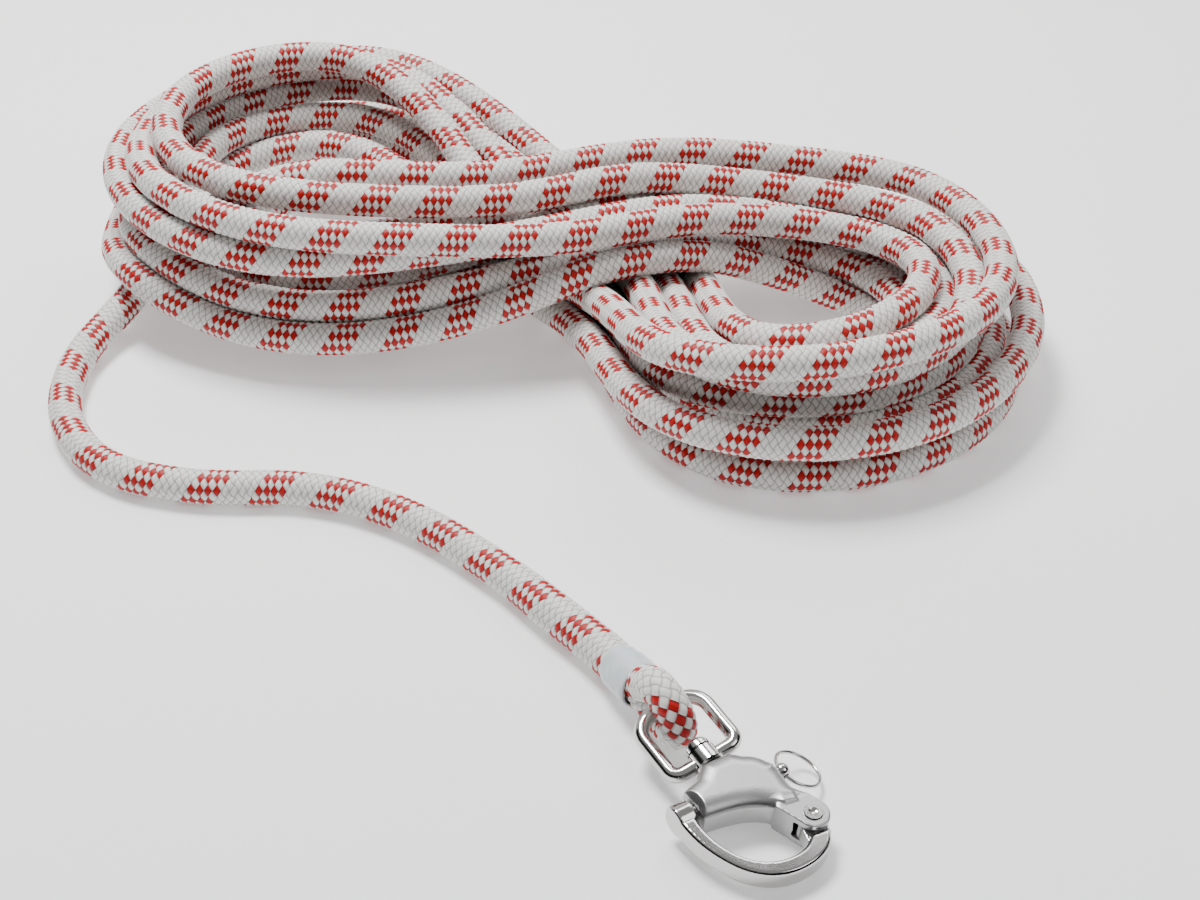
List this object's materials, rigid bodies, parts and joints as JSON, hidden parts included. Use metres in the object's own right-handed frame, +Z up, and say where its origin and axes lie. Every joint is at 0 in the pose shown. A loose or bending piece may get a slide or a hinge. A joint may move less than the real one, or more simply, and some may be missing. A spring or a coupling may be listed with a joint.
{
  "type": "escape rope",
  "caption": "Braided safety rope laid in a figure-eight hank, its free end spliced round the bail of a swivel snap shackle that opens with a pull ring.",
  "frame": {"origin": "middle of the object's footprint, on the surface that it lies on", "axes": "+Z up, +X along the hank towards its right lobe, -Y from the hank towards the shackle"},
  "size_m": [0.3624, 0.4295, 0.073],
  "materials": {
    "braid": "white braid with a red helical fleck",
    "clear_sleeve": "translucent shrunk sleeve",
    "polished_steel": "polished stainless",
    "satin_steel": "satin cast stainless",
    "spring_steel": "drawn wire"
  },
  "bodies": {
    "rope": {"rope_hank": "braid", "rope_tail": "braid", "rope_splice": "braid", "rope_eye": "braid", "throat_sleeve": "clear_sleeve", "rope_end": "braid", "rope_end_sleeve": "clear_sleeve"},
    "bail": {"bail": "polished_steel"},
    "casting": {"shackle_body": "satin_steel", "swivel_stud": "polished_steel", "gate_rivet": "polished_steel", "spring_bush": "polished_steel", "plunger_spring": "spring_steel"},
    "gate": {"gate": "polished_steel"},
    "plunger": {"plunger": "polished_steel"},
    "pull_ring": {"pull_ring": "polished_steel"}
  },
  "joints": [
    {"name": "bow_pivot", "type": "hinge", "parent": "rope", "child": "bail", "pos_m": [0.03607, -0.15701, 0.01291], "axis": [-0.8424, -0.498, -0.2061], "range_deg": [0, 75]},
    {"name": "stud_swivel", "type": "hinge", "parent": "bail", "child": "casting", "pos_m": [0.0469, -0.1742, 0.0102], "axis": [0.5282, -0.8388, -0.1323], "continuous": true},
    {"name": "gate_pivot", "type": "hinge", "parent": "casting", "child": "gate", "pos_m": [0.07437, -0.19474, 0.00593], "axis": [0.0705, -0.1119, 0.9912], "range_deg": [0, 100]},
    {"name": "plunger_slide", "type": "slide", "parent": "casting", "child": "plunger", "axis": [0.8462, 0.5329, 0], "range_m": [0, 0.005], "stiffness_N_per_m": 300, "springref_m": -0.004, "deforming": ["plunger_spring"]},
    {"name": "ring_pivot", "type": "hinge", "parent": "plunger", "child": "pull_ring", "pos_m": [0.06783, -0.17742, 0.00835], "axis": [0.5282, -0.8388, -0.1323], "range_deg": [-10, 110]}
  ]
}
